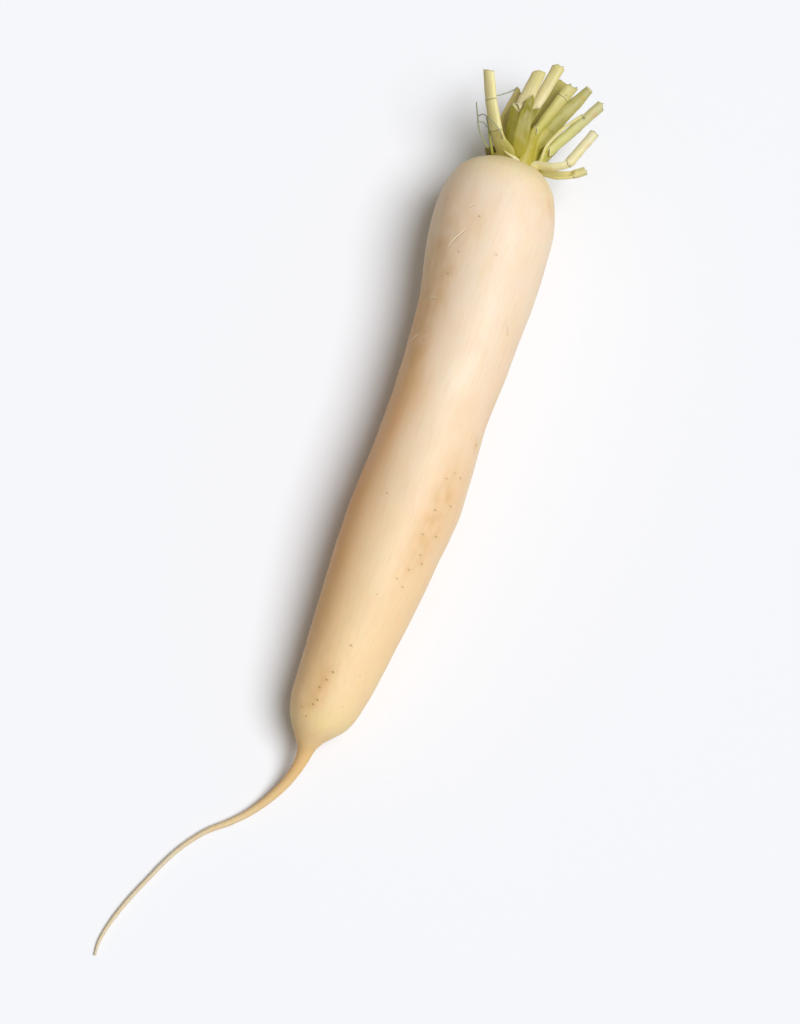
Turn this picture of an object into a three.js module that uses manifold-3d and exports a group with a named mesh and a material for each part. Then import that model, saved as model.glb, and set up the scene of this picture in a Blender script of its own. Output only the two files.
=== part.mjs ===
// A daikon radish lying on its side: one long storage root that thins into a whip tail, and on its crown the
// cut stubs of the leaf rosette. Millimetres, +Z up, +X from the tail to the crown, +Y to the root's left.
import * as THREE from "three";
import { mergeVertices } from "three/addons/utils/BufferGeometryUtils.js";
import Module from "manifold-3d";

const wasm = await Module();
wasm.setup();

// ---- Driving dimensions ----------------------------------------------------------------------------------
const CROWN_X = 350.5; // from the neck of the tail to the flat of the crown
const CROWN_Y = -4; // the rosette sits a little to the right of the root's middle
const CROWN_Z = 35.5; // height of the crown above the surface
const CROWN_RADIUS = 16;
const GAP = 0.3; // between pieces that touch
const TAIL_END = 36; // from the neck to where the root is a full cylinder
const ROOT_SIDES = 48;
const RINGS_PER_STATION = 2;
const STALK_SIDES = 12;
const SHEATH_RINGS = 7; // from a stalk's foot to its knee
const SHAFT_RINGS = 5; // from its knee to its cut end
const CREASE = 1.6; // how far the sharp fold at a knee reaches each way
const SHEATH_HOLLOW = 0.5; // depth of the channel along a sheath, as a share of its thickness
const SHAFT_HOLLOW = 0.15;
const OUTER_RING = 12.6; // distance of the oldest stalks' feet from the middle of the crown
const MIDDLE_RING = 8.8;
const INNER_RING = 5.4; // and of the youngest stalks' feet
const THREAD_SIDES = 8;

const material = (color, roughness) => new THREE.MeshStandardMaterial({ color, roughness, metalness: 0 });
const SKIN = material("#f3dfbf", 0.45);
const GREEN = material("#aaa649", 0.5);
const PALE = material("#ddd39a", 0.5);
const WITHERED = material("#7d7038", 0.85);

// ---- Root ------------------------------------------------------------------------------------------------
// Stations along the middle of the root: distance from the neck, sway to the left, height and radius. The
// heavy head and the belly of the lower half lie on the surface, with the waist clear of it between them. The
// tail droops from the neck and then lies along the surface.
const ROOT_STATIONS = [
  [-150, 75.5, 1.1, 0.7],
  [-143, 75.8, 1.3, 0.9],
  [-133, 74, 1.5, 1.05],
  [-118, 69, 1.7, 1.2],
  [-100, 61, 1.8, 1.25],
  [-82, 52, 1.8, 1.35],
  [-66, 39.8, 2, 1.5],
  [-57, 29, 2.3, 1.85],
  [-48, 20, 2.8, 2.1],
  [-37, 12, 4.6, 2.5],
  [-26, 6, 8.2, 2.9],
  [-17, 2.8, 12, 3.3],
  [-10, 1.5, 14.8, 4],
  [-5, 1.3, 16.8, 5],
  [-1, 1.4, 18.2, 7],
  [4, 1.5, 19.6, 10.8],
  [11, 1, 21.2, 16],
  [20, -0.5, 22.4, 19.7],
  [36, -2.3, 23.8, 22],
  [61, -3.6, 25.4, 24.6],
  [86, -5, 27, 27],
  [112, -6, 28.7, 29],
  [142, -7.8, 30.1, 30.5],
  [166, -8.4, 31, 29.9],
  [198, -8, 31.8, 28.6],
  [232, -8.3, 32.6, 30],
  [262, -7.6, 33.4, 31.8],
  [286, -5.4, 34.3, 34.5],
  [306, -3.8, 35.1, 35.5],
  [321, -2.9, 34.9, 34.9],
  [332.5, -2.2, 35.2, 32.4],
  [340.8, -2.3, 35.5, 28.8],
  [346.3, -2.8, CROWN_Z, 23.6],
  [349.5, -3.5, CROWN_Z, 18.8],
  [CROWN_X, CROWN_Y, CROWN_Z, CROWN_RADIUS],
];

// A closed solid through rings of points that all run the same way round, with a flat cap on each end.
function loft(rings) {
  const sides = rings[0].length;
  const points = rings.flat();
  const faces = [];
  for (let i = 0; i + 1 < rings.length; i++) {
    for (let j = 0; j < sides; j++) {
      const [a, b] = [i * sides + j, i * sides + ((j + 1) % sides)];
      faces.push(a, b, b + sides, a, b + sides, a + sides);
    }
  }
  const middle = (ring) => ring.reduce((sum, p) => sum.add(p), new THREE.Vector3()).divideScalar(sides);
  const last = (rings.length - 1) * sides;
  const tail = points.push(middle(rings[0])) - 1;
  const head = points.push(middle(rings.at(-1))) - 1;
  for (let j = 0; j < sides; j++) {
    const next = (j + 1) % sides;
    faces.push(tail, next, j, head, last + j, last + next);
  }
  return new THREE.BufferGeometry().setFromPoints(points).setIndex(faces);
}

// The ring planes turn with the middle line in the tail and stay upright in the body. What would lie below
// the surface is pressed flat on it, as the root's own weight does.
function rootSolid() {
  const line = new THREE.CatmullRomCurve3(ROOT_STATIONS.map(([x, y, z]) => new THREE.Vector3(x, y, z)));
  const girth = new THREE.SplineCurve(ROOT_STATIONS.map((station) => new THREE.Vector2(station[3], 0)));
  const steps = (ROOT_STATIONS.length - 1) * RINGS_PER_STATION;
  const rings = [];
  for (let i = 0; i <= steps; i++) {
    const centre = line.getPoint(i / steps);
    const radius = girth.getPoint(i / steps).x;
    const straight = THREE.MathUtils.smoothstep(centre.x, 0, TAIL_END);
    const along = line.getTangent(i / steps).lerp(new THREE.Vector3(1, 0, 0), straight).normalize();
    const left = new THREE.Vector3(0, 0, 1).cross(along).normalize();
    const up = along.clone().cross(left);
    const ring = [];
    for (let j = 0; j < ROOT_SIDES; j++) {
      const turn = (2 * Math.PI * (j + 0.5)) / ROOT_SIDES;
      const point = centre.clone().addScaledVector(left, radius * Math.cos(turn));
      point.addScaledVector(up, radius * Math.sin(turn));
      point.z = Math.max(point.z, 0);
      ring.push(point);
    }
    rings.push(ring);
  }
  return loft(rings);
}

// ---- Leaf stalks -----------------------------------------------------------------------------------------
// Each stalk grew from its own foot on the crown: a wide channelled sheath up to the knee, where it has been
// creased, and above it a rounder shaft up to the cut. "ring" is how far the foot stands from the middle of
// the crown, and "turn" where, in degrees from its top towards the root's right. "twist" is how far the sheath
// turns between foot and knee. The points of "rise" lead to the knee, which is the last of them, and those of
// "shaft" lead on to the cut end. A point is measured from the middle of the crown: out, to the left, and up.
// "widths" are those of the sheath at foot and knee, then of the shaft at knee and cut. "thick" is the
// thickness of the sheath, then of the shaft.
const STALKS = [
  // the upper side of the fan, from left to right
  {
    ring: OUTER_RING, turn: -34, rise: [[3.6, 8.6, 12.8], [7.4, 12.6, 14], [12.7, 17.1, 16.5]],
    shaft: [[27.4, 25.2, 20.5], [43.3, 32.1, 22.5]], widths: [10.6, 8.6, 8.6, 7], thick: [3, 5],
    look: PALE,
  },
  {
    ring: MIDDLE_RING, turn: -10, rise: [[7.3, 3.6, 13.4], [17.6, 5.4, 18], [29.2, 7.1, 20.5]],
    shaft: [[53.2, 4.2, 18.5]], widths: [7.2, 13.6, 9, 7.8], thick: [3.4, 5], look: PALE,
  },
  {
    ring: INNER_RING, turn: -16, rise: [[9.9, 1.8, 9.6], [21.6, 2.4, 13.6], [33.2, -0.1, 16.3]],
    shaft: [[60.9, -5.3, 16.5]], widths: [4.4, 6.6, 6.2, 7.6], thick: [2.8, 4.6], look: PALE,
  },
  {
    ring: INNER_RING, turn: -76, twist: 55, rise: [[12.6, 10.2, 4], [24.2, 14.2, 5.5]],
    shaft: [[43.4, 11.6, 8]], widths: [4.8, 7.4, 7.4, 5.8], thick: [3, 3.4], look: GREEN,
  },
  {
    ring: OUTER_RING, turn: 22, rise: [[9, -4.6, 11.8], [16.5, -4.5, 11.4], [22.8, -5.1, 11.4]],
    shaft: [[54.2, -16.4, 13.5]], widths: [6.4, 6, 5.2, 8], thick: [3, 4.6], look: PALE,
  },
  {
    ring: INNER_RING, turn: 122, twist: 40, rise: [[14.5, -4.4, -1.5], [27.6, -4.1, -0.5]],
    shaft: [[57.4, -11, 2.5]], widths: [5, 7.6, 8, 8.8], thick: [3, 3.4], look: GREEN,
  },
  {
    ring: MIDDLE_RING, turn: 48, twist: -40, rise: [[10.6, -7.4, 6.3], [18.5, -8.6, 7], [26.6, -11, 7]],
    shaft: [[38, -16.2, 6.5], [47.6, -21.7, 6.5], [58.6, -26.8, 6.5]], widths: [6.4, 12, 12, 4.8],
    thick: [2.8, 3.8], look: GREEN,
  },
  {
    ring: OUTER_RING, turn: 70, rise: [[6.2, -12.6, 8.4], [14.3, -13, 13]],
    shaft: [[26.3, -18.8, 15.8], [37.8, -27.4, 17.8]], widths: [2.2, 2.4, 2.4, 2], thick: [2.2, 2],
    look: PALE,
  },
  {
    ring: OUTER_RING, turn: 89, twist: -50, rise: [[7.3, -13.4, 3.5], [15, -16.2, 7]],
    shaft: [[49, -35.8, 12]], widths: [4.8, 8, 6.6, 6.4], thick: [3.6, 5.8], look: GREEN,
  },
  {
    ring: OUTER_RING, turn: 49, rise: [[2.9, -11.8, 10.2], [3.6, -21, 15.6], [6.8, -28, 17.5]],
    shaft: [[30.4, -36.9, 16.5]], widths: [4.6, 6, 5.8, 5.6], thick: [4.6, 6.4], look: PALE,
  },
  {
    ring: OUTER_RING, turn: 119, rise: [[3.9, -16, -1.8], [3.7, -24.3, 2.2], [6.4, -33.2, 4.8]],
    shaft: [[11.2, -40.4, 6.5]], widths: [4.6, 5.4, 5.2, 4.8], thick: [4.4, 5.6], look: PALE,
  },
  // the under side of the fan, lower and shorter
  {
    ring: OUTER_RING, turn: 144, rise: [[10, -12.4, -9], [22, -17.8, -10]],
    shaft: [[41, -28.6, -11]], widths: [5.6, 6.8, 5.2, 5], thick: [3.6, 4.6], look: GREEN,
  },
  {
    ring: OUTER_RING, turn: 171, rise: [[10, -4.6, -15], [26, -6, -18.4]],
    shaft: [[52, -11, -23]], widths: [6.2, 9, 5.6, 5.4], thick: [3.6, 4.8], look: GREEN,
  },
  {
    ring: OUTER_RING, turn: 202, rise: [[10, 4.6, -15], [24, 6, -19]],
    shaft: [[48, 7.5, -25]], widths: [6.2, 9, 5.6, 5.2], thick: [3.6, 4.6], look: GREEN,
  },
  {
    ring: OUTER_RING, turn: 234, rise: [[6, 10.6, -9.4], [14, 12, -12]],
    shaft: [[22, 13, -14.4]], widths: [6, 6, 5.4, 5], thick: [3.4, 4.2], look: PALE,
  },
];

// One ring of a stalk: an oval whose inner side is hollowed into a channel. "hollow" is the channel's depth
// as a share of the thickness.
function stalkRing(centre, along, outward, width, thickness, hollow) {
  const across = outward.clone().cross(along).normalize();
  const back = along.clone().cross(across);
  const ring = [];
  for (let j = 0; j < STALK_SIDES; j++) {
    const turn = (2 * Math.PI * (j + 0.5)) / STALK_SIDES;
    const height = Math.sin(turn);
    const channel = height < 0 ? hollow * thickness * height * height : 0;
    const point = centre.clone().addScaledVector(across, (width / 2) * Math.cos(turn));
    point.addScaledVector(back, (thickness / 2) * height + channel);
    ring.push(point);
  }
  return ring;
}

// The rings keep their facing along the stalk, apart from an even twist between the foot and the knee.
function stalkSolid({ ring, turn, twist = 0, rise, shaft, widths, thick }) {
  const { degToRad, lerp } = THREE.MathUtils;
  const outward = new THREE.Vector3(0, -Math.sin(degToRad(turn)), Math.cos(degToRad(turn)));
  const foot = outward.clone().multiplyScalar(ring).setX(GAP);
  const lower = [foot, ...rise.map((p) => new THREE.Vector3(...p))];
  const upper = [lower.at(-1), ...shaft.map((p) => new THREE.Vector3(...p))];
  const sheathLine = new THREE.CatmullRomCurve3(lower);
  const shaftLine = new THREE.CatmullRomCurve3(upper);
  const sheathEnd = 1 - CREASE / sheathLine.getLength();
  const shaftStart = CREASE / shaftLine.getLength();
  const before = new THREE.Vector3(1, 0, 0);
  const rings = [];
  const addRing = (line, at, turned, width, thickness, hollow) => {
    const along = rings.length ? line.getTangentAt(at) : before.clone();
    outward.applyQuaternion(new THREE.Quaternion().setFromUnitVectors(before, along));
    outward.applyAxisAngle(along, degToRad(turned));
    before.copy(along);
    rings.push(stalkRing(line.getPointAt(at), along, outward, width, thickness, hollow));
  };
  for (let i = 0; i <= SHEATH_RINGS; i++) {
    const share = i / SHEATH_RINGS;
    const width = lerp(widths[0], widths[1], 1 - (1 - share) ** 2);
    addRing(sheathLine, sheathEnd * share, i && twist / SHEATH_RINGS, width, thick[0], SHEATH_HOLLOW);
  }
  for (let i = 0; i <= SHAFT_RINGS; i++) {
    const share = i / SHAFT_RINGS;
    const width = lerp(widths[2], widths[3], share);
    addRing(shaftLine, lerp(shaftStart, 1, share), 0, width, thick[1], SHAFT_HOLLOW);
  }
  return loft(rings);
}

// ---- Young and withered growth at the crown --------------------------------------------------------------
// The heart is the tight bundle of the youngest leaves, cut short. The young stalk lies across the foot of
// the tall left stalk, and the stub beside it has withered. Points are measured as those of the stalks are.
const SHOOTS = [
  { name: "heart_bud", points: [[GAP, 0, 0], [7, -0.4, 0.6], [15, -1, 1]], width: 5.2, end: 3, look: GREEN },
  {
    name: "young_stalk", width: 1.8, end: 1.2, look: GREEN,
    points: [[GAP, 13.8, 5.6], [3.6, 16, 9.2], [9.7, 19.4, 12], [15.5, 22.2, 13], [19.7, 24.6, 13]],
  },
  {
    name: "withered_stub", points: [[GAP, 12.6, 1.4], [3.2, 14.2, 2.4], [6.6, 17.4, 4]], width: 4.4, end: 3.4,
    look: WITHERED,
  },
];

function shootSolid({ points, width, end }) {
  const line = new THREE.CatmullRomCurve3(points.map((p) => new THREE.Vector3(...p)));
  const outward = new THREE.Vector3(0, points.at(-1)[1], points.at(-1)[2]).normalize();
  const rings = [];
  for (let i = 0; i <= SHEATH_RINGS; i++) {
    const share = i / SHEATH_RINGS;
    const size = THREE.MathUtils.lerp(width, end, share);
    const along = i === 0 ? new THREE.Vector3(1, 0, 0) : line.getTangentAt(share);
    rings.push(stalkRing(line.getPointAt(share), along, outward, size, size, 0));
  }
  return loft(rings);
}

// ---- Threads ---------------------------------------------------------------------------------------------
// Stringy ribs torn from the stalks. One forks twice and stands as a loop at the left, the other has peeled
// from the tall left stalk and runs across behind its neighbour.
const THREADS = [
  { name: "forked_thread", width: 1.3, lines: [
    [[4.6, 16.8, 7], [5, 20.2, 9.6], [8, 24, 12.5], [12.6, 27.5, 14.5], [16.9, 29.5, 16], [23.4, 32.4, 16.5]],
    [[17.5, 29.7, 16.2], [17.8, 26.4, 20.4], [15.2, 21, 22.8], [11, 14.4, 21.4]],
    [[15, 28.7, 15.3], [15.2, 26.6, 14.8], [15, 25, 14.6]],
  ] },
  { name: "peeled_thread", width: 1.2, lines: [
    [[31, 22.5, 21.2], [34.8, 18.6, 18.5], [38.6, 15.9, 14.5], [42.6, 13.6, 11.8]],
  ] },
];

function tube(points, width) {
  const line = new THREE.CatmullRomCurve3(points.map((p) => new THREE.Vector3(...p)));
  const section = new THREE.Shape().absarc(0, 0, width / 2, 0, 2 * Math.PI);
  return new THREE.ExtrudeGeometry(section, {
    extrudePath: line,
    steps: Math.ceil(line.getLength() / (2 * width)),
    curveSegments: THREAD_SIDES / 2,
    bevelEnabled: false,
  });
}

// One solid from overlapping geometries.
function join(geometries) {
  const solids = geometries.map((geometry) => {
    geometry.deleteAttribute("normal").deleteAttribute("uv");
    const merged = mergeVertices(geometry, 1e-4);
    return new wasm.Manifold(new wasm.Mesh({
      numProp: 3,
      vertProperties: new Float32Array(merged.attributes.position.array),
      triVerts: new Uint32Array(merged.index.array),
    }));
  });
  const mesh = solids.reduce((sum, solid) => sum.add(solid)).getMesh();
  return new THREE.BufferGeometry()
    .setAttribute("position", new THREE.BufferAttribute(mesh.vertProperties, 3))
    .setIndex(new THREE.BufferAttribute(mesh.triVerts, 1));
}

// ---- The radish ------------------------------------------------------------------------------------------
const radish = new THREE.Group();
const rosette = new THREE.Group();
rosette.position.set(CROWN_X, CROWN_Y, CROWN_Z);
radish.add(rosette);

function piece(group, name, geometry, look) {
  const mesh = new THREE.Mesh(geometry, look);
  mesh.name = name;
  mesh.geometry.computeVertexNormals();
  group.add(mesh);
}

piece(radish, "root", rootSolid(), SKIN);
STALKS.forEach((stalk, i) => {
  piece(rosette, `leaf_stalk_${String(i + 1).padStart(2, "0")}`, stalkSolid(stalk), stalk.look);
});
for (const shoot of SHOOTS) {
  piece(rosette, shoot.name, shootSolid(shoot), shoot.look);
}
for (const { name, width, lines } of THREADS) {
  piece(rosette, name, join(lines.map((points) => tube(points, width))), GREEN);
}

// The origin is on the surface, under the middle of the whole radish.
const box = new THREE.Box3().setFromObject(radish);
const middle = box.getCenter(new THREE.Vector3());
radish.position.set(-middle.x, -middle.y, -box.min.z);

export default radish;
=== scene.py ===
"""A daikon radish lying on its side: a long pale root with a whip tail, and the cut stalks of its leaves.

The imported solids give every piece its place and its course. Each section below grows one kind of piece
over them, with the skin, scars, torn edges and colours of the plant. Metres, +Z up, and +X from the tail to
the crown.
"""

import math
import random

import bmesh
import bpy
import numpy as np
from mathutils import Matrix, Vector, noise


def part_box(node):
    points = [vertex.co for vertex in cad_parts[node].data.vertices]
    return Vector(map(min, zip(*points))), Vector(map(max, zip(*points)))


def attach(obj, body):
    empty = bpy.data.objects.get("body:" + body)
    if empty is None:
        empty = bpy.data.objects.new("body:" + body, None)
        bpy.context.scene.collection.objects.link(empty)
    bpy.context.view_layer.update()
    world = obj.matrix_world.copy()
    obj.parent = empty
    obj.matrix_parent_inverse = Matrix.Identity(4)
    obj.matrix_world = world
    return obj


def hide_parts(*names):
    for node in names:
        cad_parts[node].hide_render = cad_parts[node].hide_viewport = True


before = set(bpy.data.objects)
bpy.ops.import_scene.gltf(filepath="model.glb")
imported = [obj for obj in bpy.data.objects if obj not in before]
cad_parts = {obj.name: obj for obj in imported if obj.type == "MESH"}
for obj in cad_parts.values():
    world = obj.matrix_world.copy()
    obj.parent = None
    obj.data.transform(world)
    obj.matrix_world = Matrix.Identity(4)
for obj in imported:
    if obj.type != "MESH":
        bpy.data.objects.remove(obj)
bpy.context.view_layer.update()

# ---- The storage root ------------------------------------------------------------------------------------
# One swollen taproot, crisp and full of water under a thin satin skin, which thins all at once into a whip
# of a tail. Side roots grew out of its lower half in two opposite rows that wind slowly round it, and each
# left a small sunken scar. Lifting and washing added a few scrapes.
MM = 0.001
ROOT_LENGTH = 350.5  # mm from the neck, where the tail begins, to the flat of the crown
ROOT_COLUMNS = 168  # faces round the root
BODY_STEP = 1.1 * MM  # between two rows of faces on the body
TAIL_STEP = 1.6 * MM
BODY_RADIUS = 33  # mm, about: turns into millimetres round the body
MARK_CUTS = 4  # each edge near a scar or a scrape is cut this often, for its fine relief
MARK_REACH = 1.7  # mm on either side of a mark that are cut finer
CROWN_DOME = 0.5 * MM  # how far the crown swells up between the leaf stalks
SWELLING = 0.35 * MM  # the slow waviness of the whole root
RIPPLE = 0.05 * MM  # the fine lengthwise unevenness of its skin
FLAT_REACH = 1.5 * MM  # above the table: in this height the skin's relief eases in from the flat
ROW_TURN = 25  # degrees from the top, towards the left, where a row of side roots meets the neck
ROW_WIND = -0.48  # degrees that the row winds for each millimetre towards the crown
HIDDEN_ROW = (14, 190, 9)  # mm from the neck: the opposite row's start, end and step, on the lower side
PIT_WIDTH = 0.3  # mm from the middle of a side root's scar to where it levels out
PIT_DEPTH = 0.3 * MM
SCRAPE_WIDTH = 0.28  # mm, half the width of a scrape's groove
SCRAPE_WANDER = 0.35  # mm that a scrape strays from a straight line
SCRAPE_HALF = 0.42  # of a scrape's length, from its middle to where it starts to fade
LEAF_SCAR_RINGS = ((18.4, 5), (21.6, 6))  # mm from the middle line, and how many scars are in the ring
LEAF_SCAR_DEPTH = 0.22 * MM
LEAF_SCAR_THICKNESS = 0.6  # mm
LEAF_SCAR_LENGTH = 5  # mm from its middle to where it fades
LEAF_SCAR_BEND = 9  # mm
SHOULDER_REACH = 14  # mm from the crown's flat back to where the leaf scars end
FLANK_MIDDLE = -6  # degrees from the top: the middle of the lit strip between the sides' painted warm shade
FLANK_TURNS = (8, 72)  # degrees from there, between which the painted shade comes in
FLANK_HEIGHT = 150  # mm from the neck, where the painted shade is strongest
FLANK_FADE = (160, 35)  # mm from that height: where the painted shade has gone, and where it is still full
FLANK_CLOUDS = 16 * MM  # how far apart the painted shade is stronger
STAIN_CLOUDS = 4 * MM

# Scars of side roots that show on the upper side: mm from the neck, degrees from the top, size.
PITS = [
    (186, -64, 1.0), (184, -61, 0.7), (182, -65, 0.6), (164, -51, 1.1), (165, -40, 0.7), (160, -32, 0.8),
    (147, -50, 1.1), (141, -32, 1.0), (128, -48, 1.1), (126, -30, 0.9), (115, -38, 1.0), (111, -45, 1.1),
    (105, -32, 1.0), (98, -22, 0.8), (95, -33, 0.9), (86, -7, 0.6), (55, -1, 1.1), (38, 9, 1.4),
    (33, 13, 1.2), (28, 19, 1.1), (21, 14, 1.3), (18, 18, 1.2), (15, 36, 0.8), (11, 22, 1.0),
    (141, 24, 0.8), (306, 16, 1.0), (288, -8, 0.8), (284, 28, 0.7), (271, 36, 1.0), (232, 45, 0.7),
    (41, -31, 0.5), (22, -29, 0.5),
]
# Scrapes: where each starts and ends, as mm and degrees, its depth in mm, and how pale its torn edge is.
SCRAPES = [
    ((286, 39.5), (296.5, 26), 0.26, 0.9), ((231, 69), (235, 59), 0.35, 1.0),
    ((256, 53), (256.5, 44), 0.26, 0.8), ((310, 27), (312.5, 24), 0.2, 0.7),
    ((250, -49), (254, -42), 0.12, -0.3), ((235, 50), (238, 47), 0.16, -0.5),
    ((121, 150), (128, 139), 0.26, 0.7), ((262, -122), (275, -117), 0.22, 0.6),
]
# Stains where the skin was rubbed or pressed: place, how far each reaches along and round in mm, strength.
STAINS = [
    ((271, 37), 6, 4, 0.25), ((258, 46), 14, 8, 0.3), ((290, 50), 14, 7, 0.25), ((222, 48), 12, 7, 0.4),
    ((205, 42), 12, 7, 0.3), ((150, -40), 26, 10, 0.42), ((122, -34), 22, 9, 0.35), ((27, 20), 17, 6, 0.55),
    ((186, -63), 5, 4, 0.4), ((315, 60), 9, 6, 0.25), ((245, 66), 40, 9, 0.35), ((60, 60), 36, 9, 0.3),
    ((332, -64), 13, 12, 0.35), ((290, 52), 38, 18, 0.2), ((210, 160), 26, 14, 0.5),
    ((90, -150), 30, 12, 0.5), ((300, -130), 22, 14, 0.45), ((20, 150), 18, 12, 0.5),
]


def corner_grid(node, axis_point):
    """The corners of a lofted solid, ring by ring from its end nearer the tail.

    All rings are counted the same way round, from the left when the side away from axis_point is up.
    """
    bm = bmesh.new()
    bm.from_mesh(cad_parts[node].data)
    bmesh.ops.remove_doubles(bm, verts=bm.verts, dist=0.001 * MM)
    bm.normal_update()
    caps = sorted(bm.verts, key=lambda v: len(v.link_edges))[-2:]
    first_cap, last_cap = sorted(caps, key=lambda v: v.co.x)
    linked = {v: {e.other_vert(v) for e in v.link_edges} for v in bm.verts}
    along = -first_cap.normal
    left = (first_cap.co - axis_point).cross(along).normalized()
    outward = along.cross(left)
    corners = linked[first_cap]
    ring = [max(corners, key=lambda v: (v.co - first_cap.co).dot(left + 0.1 * outward))]
    ring.append(max(linked[ring[0]] & corners, key=lambda v: (v.co - first_cap.co).dot(outward)))
    while len(ring) < len(corners):
        ring.extend((linked[ring[-1]] & corners) - set(ring))
    seen = {first_cap, *ring}
    rings = [ring]
    while last_cap not in linked[ring[0]]:
        ahead = [linked[v] - seen for v in ring]
        ring = [(ahead[i] & ahead[i - 1]).pop() for i in range(len(ring))]
        seen.update(ring)
        rings.append(ring)
    grid = np.array([[v.co for v in ring] for ring in rings])
    bm.free()
    return grid


def smooth(values, places, closed=False):
    """What a smooth curve through the values has at places counted along them."""
    count = len(values)
    near = np.clip(np.floor(places).astype(int), 0, count - (1 if closed else 2))
    t = (places - near).reshape(-1, *[1] * (values.ndim - 1))
    around = [near + k for k in (-1, 0, 1, 2)]
    at = [values[k % count if closed else np.clip(k, 0, count - 1)] for k in around]
    bend = (2 * t**2 - t - t**3) * at[0] + (t**3 - t**2) * at[3]
    return ((2 - 5 * t**2 + 3 * t**3) * at[1] + (t + 4 * t**2 - 3 * t**3) * at[2] + bend) / 2


def skin_points(grid, places, columns):
    """Points of the smooth skin over a grid of corners. Each column has its own places along the rings."""
    sides = grid.shape[1]
    turns = np.arange(columns) * sides / columns - 0.5
    lines = smooth(grid.transpose(1, 0, 2), turns % sides, closed=True)
    return np.stack([smooth(line, place) for line, place in zip(lines, places.T)], axis=1)


def closing(rim, shares, lifts):
    """Rows that close a rim: each is the rim drawn in to a share of its size and lifted by a vector."""
    middle = rim.mean(axis=0)
    rows = [middle + (rim - middle) * share + np.array(lift) for share, lift in zip(shares, lifts)]
    return np.stack(rows)


def waves(points, size, seed):
    """Smooth random numbers from -1 to 1 at points, with humps about size apart."""
    shift = Vector((seed, 2 * seed, 3 * seed))
    flat = [noise.noise(Vector(p) / size + shift) for p in points.reshape(-1, 3)]
    return np.array(flat).reshape(points.shape[:-1])


def grow_skin(bm, points, masks=None, stretch=(1, 1)):
    """Adds a tube of skin through rows of points, its seam closed, with its masks painted on its corners.

    Its UV map is as large as stretch, round and along it.
    """
    rows, columns = points.shape[:2]
    uv = bm.loops.layers.uv.verify()
    sheet = bmesh.ops.create_grid(bm, x_segments=columns, y_segments=rows - 1, size=0.5, calc_uvs=True)
    for face in {face for vert in sheet["verts"] for face in vert.link_faces}:
        for loop in face.loops:
            loop[uv].uv *= Vector(stretch)
    for vert in sheet["verts"]:
        row = round((vert.co.y + 0.5) * (rows - 1))
        column = round((vert.co.x + 0.5) * columns) % columns
        vert.co = points[row, column]
        for layer, values in (masks or {}).items():
            vert[layer] = values[row, column]
    bmesh.ops.remove_doubles(bm, verts=sheet["verts"], dist=1e-8)


def finish_piece(bm, name, material, slot, *nodes):
    """Makes the piece that stands for these solids, and lets it ride on the radish."""
    bmesh.ops.recalc_face_normals(bm, faces=bm.faces)
    mesh = bpy.data.meshes.new(name)
    bm.to_mesh(mesh)
    bm.free()
    mesh.shade_smooth()
    mesh.materials.append(material)
    piece = bpy.data.objects.new(name, mesh)
    bpy.context.scene.collection.objects.link(piece)
    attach(piece, "root")
    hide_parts(*nodes)
    return piece


def runs_along(line):
    """How far each point of a line is along it."""
    return np.concatenate([[0], np.cumsum(np.linalg.norm(np.diff(line, axis=0), axis=1))])


neck_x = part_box("root")[1].x - ROOT_LENGTH * MM
far_below = Vector((0, 0, -1000))
root_grid = corner_grid("root", far_below)
root_line = root_grid.mean(axis=1)
root_run = runs_along(root_line)
neck_run = np.interp(neck_x, root_line[:, 0], root_run)
row_runs = np.concatenate([
    np.arange(0, neck_run, TAIL_STEP), np.arange(neck_run, root_run[-1], BODY_STEP), root_run[-1:],
])
row_places = np.interp(row_runs, root_run, np.arange(len(root_run)))
root_points = skin_points(root_grid, np.repeat(row_places[:, None], ROOT_COLUMNS, axis=1), ROOT_COLUMNS)
crown_middle = Vector(root_points[-1].mean(axis=0))
dome_shares = np.linspace(1, 0, 16)[1:]
dome_lifts = [((1 - share**2) * CROWN_DOME, 0, 0) for share in dome_shares]
tip_lifts = [(-0.5 * MM, 0.05 * MM, 0), (-0.4 * MM, 0.05 * MM, 0), (-0.2 * MM, 0, 0)]
bm = bmesh.new()
marks_and_shade_layer = bm.verts.layers.float_color.new("marks_and_shade")
grow_skin(bm, np.concatenate([
    closing(root_points[0], (0, 0.4, 0.8), tip_lifts),
    root_points,
    closing(root_points[-1], dome_shares, dome_lifts),
]))


def root_places(points):
    """Where points of the root's skin lie.

    Gives mm from the neck, degrees from the top towards the left, and mm from the root's middle line.
    """
    middles = np.stack([np.interp(points[:, 0], root_line[:, 0], root_line[:, k]) for k in (1, 2)], axis=1)
    aside, above = (points[:, 1:] - middles).T
    turns = np.degrees(np.arctan2(aside, above))
    return (points[:, 0] - neck_x) / MM, turns, np.hypot(aside, above) / MM


def turned_from(turns, middle, circle=2 * math.pi):
    """How far turns lie from a middle one, the short way round."""
    return (turns - middle + circle / 2) % circle - circle / 2


def reach(places, spot):
    """How far places lie from a spot on the root, in mm along it and in mm round it."""
    return places[0] - spot[0], np.radians(turned_from(places[1], spot[1], 360)) * places[2]


def scrape_reach(places, start, end):
    """How many mm places lie beside the line of a scrape, and at what share of its length."""
    along, around = reach(places, start)
    run_along, run_around = end[0] - start[0], math.radians(end[1] - start[1]) * BODY_RADIUS
    length = math.hypot(run_along, run_around)
    share = (along * run_along + around * run_around) / length**2
    return (along * run_around - around * run_along) / length + SCRAPE_WANDER * np.sin(5 * share), share


def ramp(values, start, end):
    """Eases from 0 to 1 as values go from start to end."""
    share = np.clip((values - start) / (end - start), 0, 1)
    return share * share * (3 - 2 * share)


chance = random.Random(11)
for distance in np.arange(*HIDDEN_ROW):
    opposite = ROW_TURN + ROW_WIND * distance + 180
    PITS.append((distance + chance.uniform(-4, 4), opposite + chance.gauss(0, 7), chance.uniform(0.6, 1.4)))

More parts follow.
